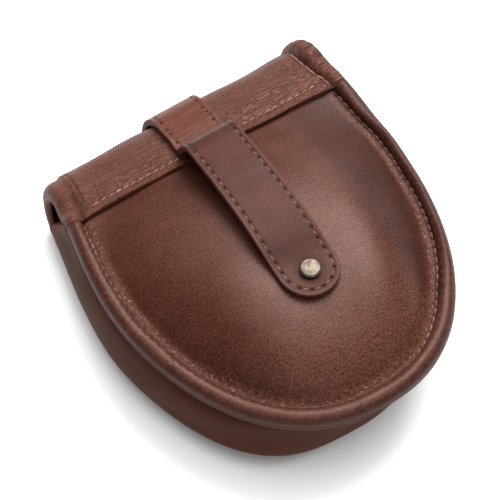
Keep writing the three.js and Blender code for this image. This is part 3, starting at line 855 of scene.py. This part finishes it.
def snap_cap():
    """The cap as a disc drawn up ring by ring, with a sunk line inside its edge."""
    bpy.ops.object.select_all(action="DESELECT")
    foot = Vector((PLAN_SHIFT[0] * MM, (SNAP.y + PLAN_SHIFT[1]) * MM, cap_high.z - SNAP.height * MM))
    radius = SNAP.radius * CAP.foot * MM
    bpy.ops.mesh.primitive_circle_add(vertices=CAP.sides, radius=radius, fill_type="NGON", location=foot)
    cap = bpy.context.object
    cap.name = cap.data.name = "snap_cap_brass"
    bpy.ops.object.mode_set(mode="EDIT")
    size = 1.0
    height = foot.z
    for rise, width in CAP.rings:
        bpy.ops.mesh.extrude_region_move(TRANSFORM_OT_translate={"value": (0, 0, rise * MM)})
        height += rise * MM
        wider = (width / size, width / size, 1)
        bpy.ops.transform.resize(value=wider, center_override=(foot.x, foot.y, height))
        size = width
    for inset, rise in CAP.steps:
        bpy.ops.mesh.inset(thickness=inset * MM)
        bpy.ops.transform.translate(value=(0, 0, rise * MM))
    bpy.ops.object.mode_set(mode="OBJECT")
    bpy.ops.object.transform_apply(location=True, rotation=True, scale=True)
    smoothing = cap.modifiers.new("rounding", "SUBSURF")
    smoothing.levels = smoothing.render_levels = CAP.rounding
    bpy.ops.object.modifier_apply(modifier=smoothing.name)
    bpy.ops.object.shade_smooth()
    return cap


# Finishes

class Wire:
    """An output in a material's nodes. Arithmetic on it adds Math nodes."""

    def __init__(self, tree, socket=None):
        self.tree = tree
        self.socket = socket

    def node(self, kind, settings, sockets, output=0):
        made = self.tree.nodes.new(kind)
        for key, value in settings.items():
            setattr(made, key, value)
        for key, value in sockets.items():
            if isinstance(value, Wire):
                self.tree.links.new(value.socket, made.inputs[key])
            else:
                made.inputs[key].default_value = value
        return Wire(self.tree, made.outputs[output])

    def into(self, shader, name):
        self.tree.links.new(self.socket, shader.inputs[name])

    def maths(self, operation, first, second):
        return self.node("ShaderNodeMath", {"operation": operation}, {0: first, 1: second})

    def __add__(self, other):
        return self.maths("ADD", self, other)

    __radd__ = __add__

    def __sub__(self, other):
        return self.maths("SUBTRACT", self, other)

    def __rsub__(self, other):
        return self.maths("SUBTRACT", other, self)

    def __mul__(self, other):
        return self.maths("MULTIPLY", self, other)

    __rmul__ = __mul__

    def held(self, low, high):
        """This value spread from low..high to 0..1 and kept there."""
        return self.node("ShaderNodeMapRange", {"clamp": True},
                         {"Value": self, "From Min": low, "From Max": high})

    def mixed(self, first, second):
        """The first colour where this is 0, the second where it is 1."""
        return self.node("ShaderNodeMix", {"data_type": "RGBA"}, {0: self, 6: first, 7: second}, 2)

    def noise(self, scale=1.0, detail=2.0, roughness=0.5, distortion=0.0):
        return self.node("ShaderNodeTexNoise", {}, {"Vector": self, "Scale": scale, "Detail": detail,
                                                    "Roughness": roughness, "Distortion": distortion})

    def stretched(self, scale, turn=0.0):
        return self.node("ShaderNodeMapping", {}, {"Vector": self, "Scale": scale, "Rotation": (0, 0, turn)})

    def relief(self, strength, depth):
        return self.node("ShaderNodeBump", {},
                         {"Height": self, "Strength": strength, "Distance": depth}, "Normal")


def tone(red, green, blue):
    """A display colour, 0 to 255, as the linear colour that a shader takes, by the sRGB curve."""
    linear = [c / 3294.6 if c <= 10.3 else ((c / 255 + 0.055) / 1.055) ** 2.4 for c in (red, green, blue)]
    return (*linear, 1)


# Tones of marks. The speck tone paints glints on the grain, the pucker tone paints light on the puckers, the
# seam tone serves dark seams and painted shade, and the hole tone paints shade in the stitch holes.
TONES = Sizes(speck=tone(124, 82, 70), pucker=tone(106, 66, 54), faded=tone(104, 58, 44),
              seam=tone(30, 13, 9), lip=tone(150, 116, 100), cut=tone(90, 49, 37), flesh=tone(84, 46, 35),
              hole=tone(14, 7, 5))
WARM_SHINE = (1, 0.72, 0.64, 1)
PORE_SHARE = 0.4


def blank(name):
    """A new material, its principled shader and a wire to start its nodes from."""
    material = bpy.data.materials.new(name)
    material.use_nodes = True
    return material, material.node_tree.nodes["Principled BSDF"], Wire(material.node_tree)


def leather(name, tones, rough, gloss, grain, creases):
    """Waxed leather: cloudy tones, fine grain, creases, dark seams, worn crests and raw edges, with painted
    shade in seams, grooves, creases and stitch holes and painted light and glints on the grain and puckers.
    """
    material, shader, start = blank(name)
    skin, beside = (start.node("ShaderNodeAttribute", {"attribute_name": place}, {}, "Vector")
                    for place in ("skin", "beside_seam"))
    seam, crest, rolled, lip, cut, hole, flesh, faded, pucker, coarse_grain_and_painted_light = (
        start.node("ShaderNodeAttribute", {"attribute_name": mask}, {}, "Fac") for mask in MASKS)
    deep, middle, light = (tone(*display) for display in tones)
    pore = (*(PORE_SHARE * channel for channel in deep[:3]), 1)
    cloud = skin.noise(scale=30, detail=4, roughness=0.55).held(0.32, 0.68)
    blotch = skin.noise(scale=110, detail=3, roughness=0.6).held(0.35, 0.7)
    pebble = skin.node("ShaderNodeTexVoronoi", {"feature": "SMOOTH_F1"},
                       {"Vector": skin, "Scale": 1150, "Smoothness": 0.3, "Randomness": 1.0}, "Distance")
    # Grain specks: a small bump, plus light specks painted into the colour as glints on the pebbles
    grain_specks_and_glints = skin.noise(scale=1300, roughness=0.6).held(0.38, 0.66)
    pits = skin.noise(scale=1100, roughness=0.6, distortion=0.5).held(0.46, 0.66)
    scuffs = skin.stretched((30, 420, 90), turn=0.5).noise(detail=3, roughness=0.6).held(0.5, 0.75)
    folds = skin.stretched((170, 760, 90), turn=-0.3).noise(detail=3, roughness=0.55, distortion=0.6)
    lines = folds.held(0.42, 0.5) * (1 - folds.held(0.5, 0.58))
    streaks = skin.stretched((110, 1100, 90), turn=0.1).noise(detail=3, roughness=0.6).held(0.48, 0.7)
    gathers = beside.stretched((620, 70, 70)).noise(detail=3, roughness=0.6) * rolled
    puckers = beside.stretched((760, 460, 70), turn=0.6).noise(distortion=0.6).held(0.46, 0.6) * pucker

    grainy = faded * 0.6 + coarse_grain_and_painted_light * 0.25 + grain
    colour = cloud.mixed(deep, middle)
    for share, over in (
        # the lower panel is painted lighter here, standing in for light on its shaded slope
        (blotch * 0.35 + crest * 0.2 + coarse_grain_and_painted_light * 0.3, light),
        (rolled * 0.62 - crest * 0.1, pore),
        # light specks painted as glints on the grain
        (grain_specks_and_glints * grainy * 0.5, light),
        # light specks painted on the lower panel as glints on its grain
        (grain_specks_and_glints * coarse_grain_and_painted_light * 0.4, TONES.speck),
        (pits * grainy * 0.4 + lines * (0.5 * creases), pore),
        (scuffs * 0.14 + gathers.held(0.45, 0.75) * 0.3, light),
        (pucker * 0.1, pore),
        # light painted on the puckers and on the shaded valley by the seam
        (puckers * 0.7, TONES.pucker),
        # a lighter tone on the strap up to its bend and at the gusset's ends
        (faded * 0.6, TONES.faded),
        (faded * streaks * 0.55, pore),
        # dark seams and joints, and painted shade in grooves, creases, under the rolls, on the right slope
        # and round the snap
        (seam * 0.6, TONES.seam),
        (lip, TONES.lip),
        (cut * 0.8, TONES.cut),
        (flesh * 0.8, TONES.flesh),
        # painted shade in the stitch holes
        (hole.held(0.25, 0.6), TONES.hole),
    ):
        colour = share.mixed(colour, over)
    colour.into(shader, "Base Color")

    (rough + cloud * 0.08 + pebble * 0.1 + seam * 0.2 + flesh * 0.3 + cut * 0.2).into(shader, "Roughness")
    height = (pebble * -0.11 + grain_specks_and_glints * 0.05) * (coarse_grain_and_painted_light * 1.5 + grain) - lines * creases
    height = height + gathers * 0.8 + puckers * 1.6 - faded * streaks * 0.4
    height.relief(strength=0.55, depth=0.0004).into(shader, "Normal")
    shader.inputs["Specular IOR Level"].default_value = gloss
    shader.inputs["Specular Tint"].default_value = WARM_SHINE
    return material


def waxed_thread(name, dull, bright):
    material, shader, start = blank(name)
    place = start.node("ShaderNodeTexCoord", {}, {}, "Object")
    place.noise(scale=160).held(0.3, 0.7).mixed(dull, bright).into(shader, "Base Color")
    place.noise(scale=1500).relief(strength=0.5, depth=0.0002).into(shader, "Normal")
    shader.inputs["Roughness"].default_value = 0.6
    return material


def worn_brass():
    material, shader, start = blank("worn_brass")
    place = start.node("ShaderNodeTexCoord", {}, {}, "Object")
    tarnish = place.noise(scale=420, detail=4, roughness=0.65).held(0.42, 0.72)
    scratch = place.stretched((300, 4200, 900), turn=0.7).noise().held(0.55, 0.8)
    (tarnish * 0.8).mixed(tone(116, 106, 95), tone(88, 76, 63)).into(shader, "Base Color")
    (0.5 + tarnish * 0.15 + scratch * 0.1).into(shader, "Roughness")
    height = place.noise(scale=700, detail=3) + scratch * 0.4
    height.relief(strength=0.35, depth=0.0003).into(shader, "Normal")
    shader.inputs["Metallic"].default_value = 1.0
    return material


def dress(piece, material):
    piece.data.materials.clear()
    piece.data.materials.append(material)


panel_finish = leather("panel_leather", ((50, 24, 17), (60, 30, 22), (95, 54, 43)),
                       rough=0.29, gloss=0.27, grain=1.5, creases=0.11)
gusset_finish = leather("gusset_leather", ((63, 32, 23), (69, 36, 26), (77, 42, 32)),
                        rough=0.5, gloss=0.09, grain=0.3, creases=0.1)
# The same leather as the panel, in lighter tones that paint in the extra light the flap catches on the fold
flap_lit_finish = leather("flap_leather", ((70, 36, 27), (79, 42, 31), (108, 64, 52)),
                      rough=0.4, gloss=0.25, grain=1.5, creases=0.8)
strap_finish = leather("strap_leather", ((44, 22, 18), (68, 37, 29), (86, 53, 45)),
                       rough=0.34, gloss=0.145, grain=0.9, creases=0.06)
seam_thread = waxed_thread("seam_thread", tone(94, 56, 45), tone(152, 108, 92))
edge_thread = waxed_thread("edge_thread", tone(108, 68, 55), tone(150, 108, 94))
brass_finish = worn_brass()

panel, panel_stitches = back_panel()
flap_sheet, flap_stitches = flap()
side_band = gusset()
front = front_panel()
strap, strap_stitches = belt_strap()
cap = snap_cap()
panel_thread = thread("panel_thread", [panel_stitches])
flap_thread = thread("flap_thread", flap_stitches)
strap_thread = thread("strap_thread", [strap_stitches], radius=0.26, rise=0.1, shortened=0.2)

for piece, finish, node, slot in (
    (panel, panel_finish, "back_panel", "panel_leather"),
    (side_band, gusset_finish, "gusset", "panel_leather"),
    (front, gusset_finish, "front_panel", "panel_leather"),
    (flap_sheet, flap_lit_finish, "flap", "flap_leather"),
    (strap, strap_finish, "belt_strap", "strap_leather"),
    (cap, brass_finish, "snap_cap", "snap_metal"),
    (panel_thread, seam_thread, None, "panel_leather"),
    (flap_thread, seam_thread, None, "flap_leather"),
    (strap_thread, edge_thread, None, "strap_leather"),
):
    dress(piece, finish)
    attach(piece, "root")
    if node:
        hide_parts(node)
dress(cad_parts["snap_back"], brass_finish)


# Floor, light and camera

PAPER = Sizes(size=5, dull=(1.04, 1.04, 1.04, 1), bright=(1.08, 1.08, 1.08, 1))


def paper_floor():
    bpy.ops.object.select_all(action="DESELECT")
    bpy.ops.mesh.primitive_plane_add(size=PAPER.size)
    floor = bpy.context.object
    floor.name = "floor"
    material, shader, start = blank("white_paper")
    place = start.node("ShaderNodeTexCoord", {}, {}, "Object")
    place.noise(scale=6).mixed(PAPER.dull, PAPER.bright).into(shader, "Base Color")
    shader.inputs["Roughness"].default_value = 0.9
    shader.inputs["Specular IOR Level"].default_value = 0.1
    dress(floor, material)


def soft_light(name, direction, distance, size, power):
    lamp = bpy.data.lights.new(name, "AREA")
    lamp.shape, lamp.size, lamp.energy = "DISK", size, power
    light = in_scene(name, lamp)
    light.location = Vector(direction).normalized() * distance
    light.rotation_euler = Vector(direction).to_track_quat("Z", "Y").to_euler()


CAMERA = Sizes(azimuth=-31.11, elevation=58.06, distance=505.47, target=(-9.046, -30.611, 37.0),
               lens=86.4, sensor=36, near=0.01)


def camera():
    data = bpy.data.cameras.new("camera")
    data.lens, data.sensor_width, data.clip_start = CAMERA.lens, CAMERA.sensor, CAMERA.near
    camera = in_scene("camera", data)
    a, e = math.radians(CAMERA.azimuth), math.radians(CAMERA.elevation)
    back = Vector((math.sin(a) * math.cos(e), -math.cos(a) * math.cos(e), math.sin(e)))
    camera.location = (Vector(CAMERA.target) + Vector(PLAN_SHIFT) + back * CAMERA.distance) * MM
    camera.rotation_euler = back.to_track_quat("Z", "Y").to_euler()
    bpy.context.scene.camera = camera


paper_floor()
soft_light("softbox", direction=(0.2, 0.12, 0.97), distance=1.5, size=2.0, power=30)
soft_light("spot", direction=(0.45, 0.42, 0.79), distance=1.5, size=1.1, power=28)
soft_light("fill", direction=(-0.35, -0.8, 0.6), distance=1.6, size=1.6, power=6)
world = bpy.data.worlds.new("studio")
world.use_nodes = True
sky = world.node_tree.nodes["Background"]
sky.inputs["Color"].default_value = (1, 1, 1, 1)
sky.inputs["Strength"].default_value = 0.12
bpy.context.scene.world = world
bpy.context.scene.view_settings.view_transform = "Standard"
camera()
